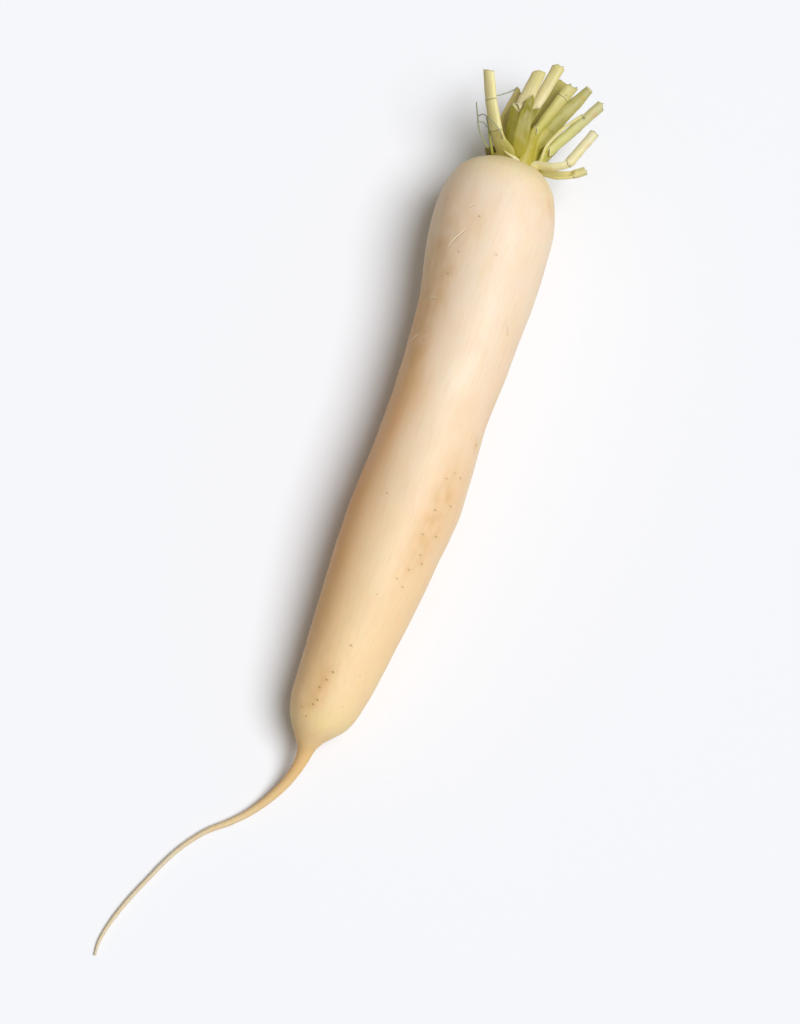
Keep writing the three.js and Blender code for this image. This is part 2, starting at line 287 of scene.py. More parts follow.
places = root_places(np.array([face.calc_center_median() for face in bm.faces]))
marked = np.zeros(len(bm.faces), dtype=bool)
for *spot, size in PITS:
    marked |= np.hypot(*reach(places, spot)) < MARK_REACH * max(size, 0.8)
for start, end, *_ in SCRAPES:
    aside, share = scrape_reach(places, start, end)
    marked |= (np.abs(aside) < MARK_REACH) & (np.abs(share - 0.5) < SCRAPE_HALF + 0.2)
edges = {edge for face, near in zip(bm.faces, marked) if near for edge in face.edges}
bmesh.ops.subdivide_edges(bm, edges=list(edges), cuts=MARK_CUTS, use_grid_fill=True)
bm.normal_update()

surface = np.array([v.co for v in bm.verts])
places = root_places(surface)
from_neck, from_top, girth = places
relief, scars_and_scrape_shade, scrapes, stains = np.zeros((4, len(surface)))
for *spot, size in PITS:
    along, around = reach(places, spot)
    slit = np.hypot(along / PIT_WIDTH, around / (PIT_WIDTH * 1.8)) / size
    relief -= PIT_DEPTH * size * (np.exp(-slit**2) - 0.3 * np.exp(-((slit - 2) ** 2) * 2))
    scars_and_scrape_shade += 0.7 * np.exp(-slit**2 / 1.2)
    stains += 0.12 * np.exp(-slit**2 / 14)
for start, end, depth, pallor in SCRAPES:
    aside, share = scrape_reach(places, start, end)
    fade = np.exp(-(np.maximum(np.abs(share - 0.5) - SCRAPE_HALF, 0) * 9) ** 2)
    groove = np.exp(-((aside / SCRAPE_WIDTH) ** 2)) - 0.6 * np.exp(-((aside + 0.7) ** 2) * 5)
    relief -= depth * MM * fade * groove
    scrapes += pallor * fade * np.exp(-((aside + 0.45) ** 2) * 6)
    # In the scar brown, a line of painted shadow along the far wall of the scrape's groove.
    scars_and_scrape_shade += 0.3 * fade * np.exp(-((aside - 0.25) ** 2) * 9)
cloudy = np.clip(0.85 + 0.6 * waves(surface * (0.5, 1, 1), STAIN_CLOUDS, 7), 0, 2)
for spot, along_reach, around_reach, strength in STAINS:
    along, around = reach(places, spot)
    stains += strength * cloudy * np.exp(-((along / along_reach) ** 2) - (around / around_reach) ** 2)
# The crown's shoulder carries the crescent scars of the first leaves, which withered and dropped.
for ring_radius, ring_scars in LEAF_SCAR_RINGS:
    for k in range(ring_scars):
        _, around = reach(places, (0, (k + chance.uniform(0.2, 0.8)) * 360 / ring_scars))
        arc = (girth - ring_radius - (around / LEAF_SCAR_BEND) ** 2) / LEAF_SCAR_THICKNESS
        crescent = np.exp(-(arc**2) - (around / LEAF_SCAR_LENGTH) ** 4)
        crescent *= from_neck > ROOT_LENGTH - SHOULDER_REACH
        relief += LEAF_SCAR_DEPTH * crescent
        stains += 0.35 * crescent

# The thin tail has none of the body's swellings and painted side shade.
body = np.clip(girth / 20, 0, 1)
relief += SWELLING * body * waves(surface, 26 * MM, 1)
relief += 0.4 * SWELLING * body * waves(surface, 9 * MM, 2)
relief += RIPPLE * waves(surface * (0.12, 1, 1), 1.6 * MM, 3)
relief *= np.clip(surface[:, 2] / FLAT_REACH, 0, 1)
# Painted warm shade on both sides of the root, darker and more golden than the lit strip along the top, and
# most of all on the left, away from the lamp.
flank_shade = ramp(np.abs(from_top - FLANK_MIDDLE), *FLANK_TURNS)
flank_shade *= 0.85 + 0.4 * waves(surface * (0.4, 1, 1), FLANK_CLOUDS, 8)
flank_shade *= 0.55 + 0.38 * np.sin(np.radians(from_top))
flank_shade *= ramp(np.abs(from_neck - FLANK_HEIGHT), *FLANK_FADE)
masks = np.clip(np.stack([scars_and_scrape_shade, scrapes, stains, flank_shade * body], axis=1), 0, 1)
for vert, lift, mask in zip(bm.verts, relief, masks):
    vert[marks_and_shade_layer] = mask
    vert.co += vert.normal * lift
    vert.co.z = max(vert.co.z, 0)


def linear(colour):
    """A hex sRGB colour as linear light, for a shader."""
    parts = [int(colour[i:i + 2], 16) / 255 for i in (1, 3, 5)]
    return (*(p / 12.92 if p <= 0.04045 else ((p + 0.055) / 1.055) ** 2.4 for p in parts), 1)


def add_node(material, kind, inputs=None, **settings):
    """Adds a shader node. inputs gives each socket a value, or another node's output to read."""
    tree = material.node_tree
    made = tree.nodes.new("ShaderNode" + kind)
    for key, value in settings.items():
        setattr(made, key, value)
    for socket, value in (inputs or {}).items():
        if isinstance(value, bpy.types.NodeSocket):
            tree.links.new(value, made.inputs[socket])
        else:
            made.inputs[socket].default_value = value
    return made


def new_material(name):
    """An empty material, with the shader that every surface of the plant ends in."""
    material = bpy.data.materials.new(name)
    material.use_nodes = True
    return material, material.node_tree.nodes["Principled BSDF"]


# A colour mix's sockets: how much of the second colour, the two colours, and the result.
SHARE, FIRST, SECOND, MIXED = 0, 6, 7, 2

# Thin wax over watery white flesh. Light goes a few millimetres in, which softens the shading and warms it,
# and the wax leaves a broad satin shine. The lower end is more golden than the head.
HONEY = "#fadcaa"
CREAM = "#f9e5cb"
NECK_PALE = "#fce1a9"
TAIL_GOLD = "#ecc88a"
TAIL_GREY = "#dfd0b4"
SHOULDER_GREEN = "#e6dc9c"
PEACH = "#f5d6ab"
# The brown of the side roots' scars, also used for the painted shadow in each scrape's groove.
SCAR_AND_SCRAPE_SHADE_BROWN = "#85643c"
STAIN_TAN = "#daae68"
TORN_PALE = "#fbeac6"
# The warm colour of the painted shade on the root's sides.
FLANK_SHADE_GOLD = "#e8ad68"
# Tints that come in along the root, over honey: mm from the neck where each begins and where it is full,
# how strong it gets, and how it comes in.
TINTS = [
    (CREAM, 0, 265, 1, "SMOOTHSTEP"),
    (NECK_PALE, 28, 9, 1, "SMOOTHSTEP"),
    (TAIL_GOLD, 8, -8, 1, "SMOOTHSTEP"),
    (TAIL_GREY, -25, -85, 1, "LINEAR"),
    (SHOULDER_GREEN, 322, 352, 0.7, "SMOOTHSTEP"),
]
root_skin, shader = new_material("waxy daikon skin")
place = add_node(root_skin, "TexCoord").outputs["Object"]
axes = add_node(root_skin, "SeparateXYZ", {0: place})
layers = []
for colour, begins, full, strength, easing in TINTS:
    share = add_node(root_skin, "MapRange", {
        "Value": axes.outputs["X"], "From Min": neck_x + begins * MM, "From Max": neck_x + full * MM,
        "To Max": strength,
    }, interpolation_type=easing)
    layers.append((share.outputs[0], colour))
# Clouds of a warmer tone, a few centimetres long, and fine streaks that the skin got as it stretched.
long_clouds = add_node(root_skin, "Mapping", {"Vector": place, "Scale": (0.45, 1, 1)})
clouds = add_node(root_skin, "TexNoise", {
    "Vector": long_clouds.outputs[0], "Scale": 1 / (14 * MM), "Detail": 3,
})
cloud_share = add_node(root_skin, "MapRange", {
    "Value": clouds.outputs["Fac"], "From Min": 0.42, "From Max": 0.72, "To Max": 0.45,
})
long_streaks = add_node(root_skin, "Mapping", {"Vector": place, "Scale": (0.08, 1, 1)})
streaks = add_node(root_skin, "TexNoise", {
    "Vector": long_streaks.outputs[0], "Scale": 1 / (1.8 * MM), "Detail": 2,
})
streak_share = add_node(root_skin, "MapRange", {
    "Value": streaks.outputs["Fac"], "From Min": 0.5, "From Max": 0.8, "To Max": 0.16,
})
# The painted layers: warm painted shade on the sides, and over it the stains, the brown scars with a
# painted shadow in each scrape's groove, and the pale torn edges.
marks_and_shade = add_node(root_skin, "Attribute", attribute_name="marks_and_shade")
kinds = add_node(root_skin, "SeparateColor", {0: marks_and_shade.outputs["Color"]})
layers += [
    (cloud_share.outputs[0], PEACH),
    (streak_share.outputs[0], STAIN_TAN),
    (marks_and_shade.outputs["Alpha"], FLANK_SHADE_GOLD),
    (kinds.outputs["Blue"], STAIN_TAN),
    (kinds.outputs["Red"], SCAR_AND_SCRAPE_SHADE_BROWN),
    (kinds.outputs["Green"], TORN_PALE),
]
skin = linear(HONEY)
for share, colour in layers:
    laid = add_node(root_skin, "Mix", {SHARE: share, FIRST: skin, SECOND: linear(colour)}, data_type="RGBA")
    skin = laid.outputs[MIXED]
root_skin.node_tree.links.new(skin, shader.inputs["Base Color"])
# The skin's cells are far too fine to see, so its grain is drawn at half a millimetre.
grain = add_node(root_skin, "TexNoise", {"Vector": place, "Scale": 1 / (0.5 * MM), "Detail": 2})
grain_bump = add_node(root_skin, "Bump", {
    "Height": grain.outputs["Fac"], "Strength": 0.25, "Distance": 0.05 * MM,
})
streak_bump = add_node(root_skin, "Bump", {
    "Height": streaks.outputs["Fac"], "Strength": 0.35, "Distance": 0.12 * MM,
    "Normal": grain_bump.outputs[0],
})
root_skin.node_tree.links.new(streak_bump.outputs[0], shader.inputs["Normal"])
sheen = add_node(root_skin, "MapRange", {
    "Value": clouds.outputs["Fac"], "From Min": 0.3, "From Max": 0.7, "To Min": 0.4, "To Max": 0.54,
})
root_skin.node_tree.links.new(sheen.outputs[0], shader.inputs["Roughness"])
shader.inputs["IOR"].default_value = 1.4
shader.inputs["Subsurface Weight"].default_value = 0.5
shader.inputs["Subsurface Radius"].default_value = (1, 0.5, 0.22)
shader.inputs["Subsurface Scale"].default_value = 6 * MM

finish_piece(bm, "daikon_root", root_skin, "root_skin", "root")

# ---- The leaf stalks -------------------------------------------------------------------------------------
# Juicy green stalks, cut off up to six centimetres above the crown. Each has a broad channelled sheath at
# its foot. At the knee it was bent over: some only creased there, and on others the skin tore, so that the
# rounder pale shaft above ends in a lip that stands over the sheath.
STALK_COLUMNS = 56  # faces round a stalk
STALK_STEP = 0.32 * MM  # between two rows of faces
STALK_RADIUS = 2.6 * MM  # about: turns into lengths round a stalk
SHEATH_RINGS = 8  # of the solid's rings, those below the knee
SUNK = 1.2 * MM  # how deep the foot grows out of the crown
FOOT_SPREAD = 0.28  # how much wider than the solid the very foot is, where it joins its neighbours
SHEATH_TOP = 0.97  # how wide a sheath's upper edge is, as a share of the solid there
RIBS = 13  # round a stalk
RIB_HEIGHT = 0.05 * MM
LUMP_HEIGHT = 0.2 * MM  # of the skin's soft unevenness
BEAD_HEIGHT = 0.16 * MM  # how far the curled edge of a torn lip stands up
TUCK = 0.7 * MM  # how far a shaft is drawn in under each mm that the sheath's rim stands off
LIP_HEIGHT = 1.6  # mm that a torn shaft reaches below its first ring, all the way round
LIP_POINT = 0.9  # radians on either side of the lip's point, over which it narrows
CREASE_WIDTH = 0.24 * MM
CREASE_DEPTH = 0.16 * MM
CREASE_WANDER = 0.35 * MM  # how far a crease strays as it goes round
RAGGED = 0.3  # mm that torn and cut edges are uneven
FLICK_TURNS = 6.28  # radians: torn fibres may stand anywhere round a cut
FLICK_WIDTH = 0.14  # radians
BUNDLES = 14  # round a cut
CUT_DIP = 0.5 * MM  # how far the pith has shrunk below the skin at a cut
# How a cut goes from its rim to its middle: shares of the rim's size, and of the dip.
CUT_SHARES = (0.95, 0.9, 0.85, 0.79, 0.73, 0.5, 0.2, 0)
CUT_DIPS = (0.1, 0.4, 0.6, 0.5, 0.8, 1, 0.9, 0.7)

# For each stalk: "sheath" has its colours at foot and knee, and "shaft" those from the knee to the cut. A
# stalk with a "rim" has torn at the knee: the rim is the upper edge of its sheath, as turns, heights above
# the knee and how far it stands off the shaft. The shaft's own edge reaches down by "lip", with its point
# turned to the left by "skew". "flare" and "foot" widen the sheath at its top and its foot. "keel" is how
# high a ridge runs up its back, at "keel_turn", and "painted_shade_side" is the colour of the painted shade
# on the facet left of that ridge, turned away from the lamp. "creases" are above the knee. "flicks" are
# torn fibres on the cut, and "slant" is how far it leans towards "slant_turn". "spots" give a place above
# the knee, a turn, a reach and a colour. Lengths are in mm. Turns are in degrees, from the stalk's left
# side over its back, and in a spot from its back.
# Stalks 4 and 6, in the shade of the stalks over them, and stalks 7 and 9 at their shaded feet, are painted
# lighter than their own green, as painted light.
STALK_LOOKS = [
    {"sheath": ("#b2a642", "#dad082"), "shaft": ("#e9e19e", "#f4eaae"), "creases": (0, 17.6),
     "foot": 0.6, "flicks": 3, "slant": 0.8},
    {"sheath": ("#b0a42c", "#98902c"), "painted_shade_side": "#9a9130", "shaft": ("#e8dcaa", "#dfd48f"), "lip": 3.6,
     "skew": 10,
     "rim": ((0, 1, 0.3), (60, -1.2, 0), (84, -3, 0), (98, 1, 1.7), (122, 8.8, 1.7), (150, 6, 1.2),
             (180, 2, 0.5), (270, 1, 0.3)),
     "flare": 1.16, "keel": 1.3, "keel_turn": 88, "foot": 0.55, "flicks": 1, "slant": 1.5,
     "slant_turn": 150},
    {"sheath": ("#b2a831", "#958e2a"), "shaft": ("#ebe0ae", "#e2d792"), "lip": 6, "skew": -25,
     "rim": ((0, 1, 0.3), (90, -1, -0.5), (180, 2, 0.3)),
     "keel": 0.5, "flicks": 3, "slant": 0.8},
    {"sheath": ("#cec25a", "#ebdf8c"), "shaft": ("#f4e89c", "#f0e4a0"), "creases": (), "slant": 1.8,
     "slant_turn": 20},
    {"sheath": ("#b6a836", "#bab046"), "shaft": ("#cac462", "#dad08c"), "lip": 3, "skew": 20,
     "rim": ((0, 1, 0.3), (90, -1, -0.5), (180, 1, 0.3)),
     "keel": 0.3, "foot": 0.5, "creases": (24,), "flicks": 2, "slant": 1.4,
     "spots": ((26, 0, 0.6, "#8c8a3a"),)},
    {"sheath": ("#c2b850", "#c4bb58"), "shaft": ("#cdc466", "#d2c878"), "creases": (), "foot": 0.6,
     "slant": 2},
    {"sheath": ("#d3c654", "#bcb344"), "shaft": ("#b0ab48", "#beb878"), "creases": (), "foot": 1.4,
     "slant": 1, "spots": ((28, 10, 1.6, "#c8a84c"),)},
    {"sheath": ("#d4cb80", "#e9e19a"), "shaft": ("#efe7a6", "#e6dd94"), "creases": (),
     "spots": ((24.5, 0, 1, "#6a6a2e"),)},
    {"sheath": ("#d2c75e", "#c2bd5a"), "shaft": ("#dcdc8c", "#d6d39e"), "lip": 3,
     "rim": ((0, 1, 0.3), (90, -1, -0.5), (180, 1, 0.3)),
     "foot": 1.1, "flicks": 2, "slant": 0.8,
     "spots": ((33, 0, 2.4, "#e0c48e"), (20, 30, 0.7, "#c9b052"), (26.5, -58, 1, "#4c4a24"))},
    {"sheath": ("#f2ecb4", "#f6eebc"), "shaft": ("#f0e6b0", "#ece6bc"), "creases": (0,), "foot": 0.5,
     "spots": ((9, 10, 1.4, "#e2c070"), (16, -20, 2, "#ecd0a4"), (0.6, 40, 0.9, "#a39a4a"))},
    {"sheath": ("#efe8a2", "#eee49c"), "shaft": ("#ece4a4", "#e2dca0"), "creases": (0,),
     "spots": ((0, 60, 0.8, "#96723c"), (0.2, 10, 0.5, "#96723c"), (-0.3, 110, 0.6, "#96723c"))},
    {"sheath": ("#aaa048", "#a59e46"), "shaft": ("#c3bd72", "#cbc68c"), "lip": 3, "flicks": 2,
     "rim": ((0, 3, 0.4), (90, -1, -0.5), (180, 3, 0.4))},
    {"sheath": ("#a49a40", "#9e9840"), "shaft": ("#c9c17c", "#d2ca90"), "lip": 4, "flicks": 2, "slant": 1,
     "rim": ((0, 3, 0.4), (90, -1, -0.5), (180, 2, 0.4))},
    {"sheath": ("#aaa048", "#9c9640"), "shaft": ("#c6c078", "#cfc88e"), "lip": 3, "flicks": 1, "slant": 0.8,
     "rim": ((0, 2, 0.4), (90, -1, -0.5), (180, 3, 0.4))},
    {"sheath": ("#ccc272", "#d6cb80"), "shaft": ("#e0d79c", "#e2d9a6"), "creases": (0,), "flicks": 4,
     "slant": 1.4},
]
PALE_STALKS = (1, 2, 3, 5, 8, 10, 11, 15)
LIP_PALE = "#f4ecbc"
# The dark of the painted shade in creases and in deep folds.
CREASE_SHADE_BROWN = "#5f5822"
STUB_GREEN = "#8f9050"  # the skin's edge round a cut, which dried a little
PITH = "#e2dfb2"
BUNDLE_GREEN = "#a9aa5c"
FIBRE_OLIVE = "#87832f"
BLUSH = "#dcc68c"
FIBRE_SPACING = 0.5  # mm, which the skin's UV map is in too


def stalk_skin(name, fibre_strength):
    """Living stalk: a satin cuticle over green ribs, marked with fine lengthwise fibres."""
    material, shader = new_material(name)
    tint = add_node(material, "Attribute", attribute_name="tint")
    run = add_node(material, "UVMap", uv_map="UVMap")
    fibre_run = add_node(material, "Mapping", {"Vector": run.outputs[0], "Scale": (1, 0.06, 1)})
    fibres = add_node(material, "TexNoise", {
        "Vector": fibre_run.outputs[0], "Scale": 1 / FIBRE_SPACING, "Detail": 2,
    })
    fibre_share = add_node(material, "MapRange", {
        "Value": fibres.outputs["Fac"], "From Min": 0.4, "From Max": 0.75, "To Max": fibre_strength,
    })
    skin = add_node(material, "Mix", {
        SHARE: fibre_share.outputs[0], FIRST: tint.outputs["Color"], SECOND: linear(FIBRE_OLIVE),
    }, data_type="RGBA")
    place = add_node(material, "TexCoord").outputs["Object"]
    blush = add_node(material, "TexNoise", {"Vector": place, "Scale": 1 / (6 * MM), "Detail": 2})
    blush_share = add_node(material, "MapRange", {
        "Value": blush.outputs["Fac"], "From Min": 0.5, "From Max": 0.75, "To Max": 0.18,
    })
    skin = add_node(material, "Mix", {
        SHARE: blush_share.outputs[0], FIRST: skin.outputs[MIXED], SECOND: linear(BLUSH),
    }, data_type="RGBA")
    material.node_tree.links.new(skin.outputs[MIXED], shader.inputs["Base Color"])
    bump = add_node(material, "Bump", {
        "Height": fibres.outputs["Fac"], "Strength": 0.5, "Distance": 0.08 * MM,
    })
    material.node_tree.links.new(bump.outputs[0], shader.inputs["Normal"])
    shader.inputs["Roughness"].default_value = 0.42
    shader.inputs["IOR"].default_value = 1.42
    shader.inputs["Subsurface Weight"].default_value = 0.4
    shader.inputs["Subsurface Radius"].default_value = (0.9, 1, 0.3)
    shader.inputs["Subsurface Scale"].default_value = 2 * MM
    return material


def outward_normals(points):
    """The direction that each point of a tube's skin faces."""
    along = np.gradient(points, axis=0)
    around = np.roll(points, -1, axis=1) - np.roll(points, 1, axis=1)
    facing = np.cross(around, along)
    return facing / np.maximum(np.linalg.norm(facing, axis=2, keepdims=True), 1e-12)


def paint(base, colour, share):
    """Lays a colour over painted corners, as thick as share says."""
    share = np.clip(share, 0, 1)[..., None]
    return base * (1 - share) + np.array(linear(colour)) * share


def graded(runs, stops):
    """Colours that change along a stalk, through stops of a place and a colour."""
    colours = np.array([linear(colour) for _, colour in stops])
    places = [place for place, _ in stops]
    return np.stack([np.interp(runs, places, colours[:, k]) for k in range(4)], axis=-1)


def ragged(turns, seed):
    """An uneven edge round a stalk, from about -1 to 1."""
    rim = np.stack([2.4 * np.cos(turns), 2.4 * np.sin(turns), np.zeros(len(turns))], axis=1)
    return 1.4 * waves(rim, 1, seed) + 0.5 * waves(rim * 4, 1, seed + 9)


def spread(grid, widths):
    """A stalk's rings, each made wider or narrower about its middle."""
    middles = grid.mean(axis=1, keepdims=True)
    return middles + (grid - middles) * np.array(widths)[:, None, None]


def tube_between(grid, ring_runs, start, end):
    """Points of a stalk's skin between two edges, given for every column in metres along the stalk.

    The skin runs straight on past the first and the last ring.
    """
    margin = 12 * MM
    head = grid[:1] - (grid[1:2] - grid[:1]) * margin / (ring_runs[1] - ring_runs[0])
    tail = grid[-1:] + (grid[-1:] - grid[-2:-1]) * margin / (ring_runs[-1] - ring_runs[-2])
    grid = np.concatenate([head, grid, tail])
    ring_runs = np.concatenate([[ring_runs[0] - margin], ring_runs, [ring_runs[-1] + margin]])
    rows = round((end.max() - start.min()) / STALK_STEP)
    runs = start + (end - start) * np.linspace(0, 1, rows)[:, None]
    places = np.interp(runs, ring_runs, np.arange(len(ring_runs)))
    return skin_points(grid, places, STALK_COLUMNS), runs


def dressed(points, runs, turns, look, knee, seed):
    """Ribs, creases and spots on a stalk's skin: how far each point is lifted, and its painted colour."""
    lift = RIB_HEIGHT * np.cos(RIBS * turns + 0.8 * waves(points, 8 * MM, seed))
    lift = lift + LUMP_HEIGHT * waves(points, 5 * MM, seed + 3)
    colours = graded(runs, look["stops"])
    wander = CREASE_WANDER * ragged(turns, seed + 5)
    # A crease runs over the back and the sides, and stops short of the channel.
    back = np.clip(1.6 * np.sin(turns) + 1.1, 0, 1)
    for crease in look.get("creases", ()):
        gap = (runs - knee - crease * MM - wander) / CREASE_WIDTH
        bead = BEAD_HEIGHT * np.exp(-((gap - 1.8) ** 2))
        lift = lift + back * (bead - CREASE_DEPTH * np.exp(-gap**2))
        # A dark line of painted shade in the crease's groove.
        colours = paint(colours, CREASE_SHADE_BROWN, 0.8 * back * np.exp(-gap**2))
        colours = paint(colours, LIP_PALE, 0.5 * back * np.exp(-((gap - 2.2) ** 2)))
    for above, turn, spot_reach, colour in look.get("spots", ()):
        around = STALK_RADIUS * turned_from(turns, math.radians(90 + turn))
        far = np.hypot(runs - knee - above * MM, around) / (spot_reach * MM)
        colours = paint(colours, colour, 0.85 * np.exp(-far**2 * 1.5))
    return lift, colours


def add_cut(points, colours, turns, flicks):
    """Closes the upper end of a stalk with its cut: a dried edge, shrunken pith, and a ring of bundles."""
    along = points[-1].mean(axis=0) - points[-3].mean(axis=0)
    along = along / np.linalg.norm(along)
    rim = points[-1] - along * flicks[:, None]
    top = closing(rim, CUT_SHARES, [-along * CUT_DIP * dip for dip in CUT_DIPS])
    pith = np.tile(np.array(linear(PITH)), (len(turns), 1))
    bundles = paint(pith, BUNDLE_GREEN, np.maximum(np.cos(BUNDLES * turns), 0))
    edge = paint(pith, STUB_GREEN, np.full(len(turns), 0.6))
    flesh = [edge, pith, pith, bundles, pith, pith, pith, pith]
    return np.concatenate([points, top]), np.concatenate([colours, flesh])


def sheath_tube(bm, layer, grid, ring_runs, look, turns, seed):
    """The foot of a torn stalk. Its upper edge stands loosely round the shaft."""
    knee = look["knee"]
    rim_turns, rim_heights, rim_gaps = zip(*look["rim"])
    height = np.interp(np.degrees(turns), rim_turns, rim_heights, period=360) + RAGGED * ragged(turns, seed)
    stand_off = np.interp(np.degrees(turns), rim_turns, rim_gaps, period=360) * MM
    end = knee + height * MM
    points, runs = tube_between(grid, ring_runs, np.full(STALK_COLUMNS, -SUNK), end)
    sheath = dict(look, stops=[(0, look["sheath"][0]), (knee, look["sheath"][1])], creases=(), spots=())
    lift, colours = dressed(points, runs, turns, sheath, knee, seed)
    keel_turn = math.radians(look.get("keel_turn", 90))
    off_keel = np.sin(turns - keel_turn)
    facing = np.cos(turns - keel_turn)
    rising = np.sin(np.clip(runs / knee, 0, 1) * 2.6)
    lift = lift + look.get("keel", 0) * MM * rising * (1 - np.abs(off_keel)) ** 2 * (facing > 0)
    # Painted shade: the facet left of the keel, turned away from the lamp, is painted in a darker colour.
    painted_shade_side = ramp(-off_keel, -0.08, 0.12) * (facing > -0.3)
    painted_shade_colour = look.get("painted_shade_side", look["sheath"][1])
    colours = paint(colours, painted_shade_colour, 0.85 * painted_shade_side * np.ones_like(runs))
    edge = (end - runs) / MM
    colours = paint(colours, LIP_PALE, 0.75 * np.exp(-((edge / 0.35) ** 2)))
    lift = lift + stand_off * ramp(edge, 10, 2)
    points = points + outward_normals(points) * lift[:, :, None]
    foot = closing(points[0], (0,), [0])
    top = closing(points[-1], (0.93, 0.5, 0), [0, 0, 0])
    points = np.concatenate([foot, points, top])
    colours = np.concatenate([colours[:1], colours, np.repeat(colours[-1:], len(top), axis=0)])
    grow_skin(bm, points, {layer: colours}, (20, end.max() / MM))


def shaft_tube(bm, layer, grid, ring_runs, start, look, turns, seed):
    """A stalk up to its cut, from the lip at its knee where it has torn, and otherwise from its foot."""
    luck = random.Random(seed)
    torn = "rim" in look
    knee = look["knee"]
    flicks = np.zeros(STALK_COLUMNS)
    for _ in range(look.get("flicks", 0)):
        away = turned_from(turns, luck.uniform(0, FLICK_TURNS))
        flicks += luck.uniform(0.7, 1.7) * MM * np.exp(-((np.abs(away) / FLICK_WIDTH) ** 1.5))
    slant = look.get("slant", 0.3) * np.cos(turns - math.radians(look.get("slant_turn", 40 * seed)))
    end = ring_runs[-1] + (slant + RAGGED * ragged(turns, seed) - 0.5) * MM + flicks
    points, runs = tube_between(grid, ring_runs, start, end)
    lift, colours = dressed(points, runs, turns, look, knee, seed)
    if torn:
        from_lip = (runs - start) / MM
        rim_turns, _, rim_gaps = zip(*look["rim"])
        hidden = np.clip(np.interp(np.degrees(turns), rim_turns, rim_gaps, period=360), 0, 2)
        lift = lift - TUCK * hidden * ramp(from_lip, 6, 1)
        lift = lift + BEAD_HEIGHT * np.exp(-((from_lip / 0.5) ** 2))
        colours = paint(colours, LIP_PALE, 0.95 * np.exp(-((from_lip / 0.55) ** 2)))
    colours = paint(colours, STUB_GREEN, 0.55 * np.exp(-(((end - runs) / (0.5 * MM)) ** 2)))
    points = points + outward_normals(points) * lift[:, :, None]
    foot_shares = (0, 0.5, 0.86) if torn else (0,)
    foot = closing(points[0], foot_shares, [0] * len(foot_shares))
    foot_colours = np.repeat(colours[:1], len(foot), axis=0)
    points, colours = add_cut(points, colours, turns, flicks)
    points = np.concatenate([foot, points])
    grow_skin(bm, points, {layer: np.concatenate([foot_colours, colours])}, (18, np.ptp(runs) / MM))


green_stalk_skin = stalk_skin("ribbed green stalk skin", 0.35)
pale_stalk_skin = stalk_skin("ribbed pale stalk skin", 0.2)
stalk_turns = np.arange(STALK_COLUMNS) * 2 * math.pi / STALK_COLUMNS
for number, look in enumerate(STALK_LOOKS, 1):
    node = f"leaf_stalk_{number:02d}"
    grid = corner_grid(node, crown_middle)
    ring_runs = runs_along(grid.mean(axis=1))
    below, above = ring_runs[SHEATH_RINGS - 1], ring_runs[SHEATH_RINGS]
    look["knee"] = (below + above) / 2
    foot_widths = 1 + look.get("foot", FOOT_SPREAD) * np.linspace(1, 0, SHEATH_RINGS) ** 1.5
    bm = bmesh.new()
    tint_layer = bm.verts.layers.float_color.new("tint")
    if "rim" in look:
        away = np.abs(turned_from(stalk_turns, math.radians(90 + look.get("skew", 0))))
        lip = look["lip"] * np.clip(1 - away / LIP_POINT, 0, 1) + LIP_HEIGHT
        lip = above - (lip + RAGGED * ragged(stalk_turns, number)) * MM
        look["stops"] = [(above, look["shaft"][0]), (ring_runs[-1], look["shaft"][1])]
        widths = [*foot_widths, *np.full(len(grid) - SHEATH_RINGS, look.get("flare", SHEATH_TOP))]
        shaft_grid, shaft_runs = grid[SHEATH_RINGS:], ring_runs[SHEATH_RINGS:]
        sheath_tube(bm, tint_layer, spread(grid, widths), ring_runs, look, stalk_turns, number)
        shaft_tube(bm, tint_layer, shaft_grid, shaft_runs, lip, look, stalk_turns, number)
    else:
        look["stops"] = [
            (0, look["sheath"][0]), (below, look["sheath"][1]), (above, look["shaft"][0]),
            (ring_runs[-1], look["shaft"][1]),
        ]
        sunk = np.full(STALK_COLUMNS, -SUNK)
        widths = [*foot_widths, *np.ones(len(grid) - SHEATH_RINGS)]
        shaft_tube(bm, tint_layer, spread(grid, widths), ring_runs, sunk, look, stalk_turns, number)
    pale = number in PALE_STALKS
    skin = pale_stalk_skin if pale else green_stalk_skin
    slot = "stalk_pale" if pale else "stalk_green"
    finish_piece(bm, f"stalk_{number:02d}", skin, slot, node)

# ---- Young and withered growth ---------------------------------------------------------------------------
# In the middle of the crown stands the heart, a tight bundle of the youngest leaves, cut short. A young
# green stalk lies by the foot of the tall left stalk, with a cream scale leaf across that foot. Beside them
# an old leaf base has dried to a dark, wrinkled stub.

# Each one's colours from foot to cut, how deep it is wrinkled, in mm, the number and depth of its folds,
# and how wide it is spread, as a share of its solid.
SHOOT_LOOKS = {
    "heart_bud": {
        "colours": ("#b8ae52", "#c3bc66", "#d6cf92"),
        "wrinkle": 0.25, "folds": 5, "fold": 0.28, "spread": 1,
    },
    "young_stalk": {
        "colours": ("#b3a943", "#a0a54a", "#949f50"),
        "wrinkle": 0.06, "folds": 6, "fold": 0.03, "spread": 1,
    },
    "withered_stub": {
        "colours": ("#84693a", "#7a7040", "#8f8a4c"),
        "wrinkle": 0.45, "folds": 7, "fold": 0.2, "spread": 2.1,
    },
}
SHOOT_SUNK = 0.8 * MM  # how deep it grows out of the crown
FLECK_ORANGE = "#b0672c"
STRAND_COLUMNS = 12  # faces round a strand
STRAND_STEP = 0.35 * MM
STRAND_WANDER = 0.12 * MM
STRAND_SIDE = (0.3, 0.2, 1)  # a strand's width lies square to this
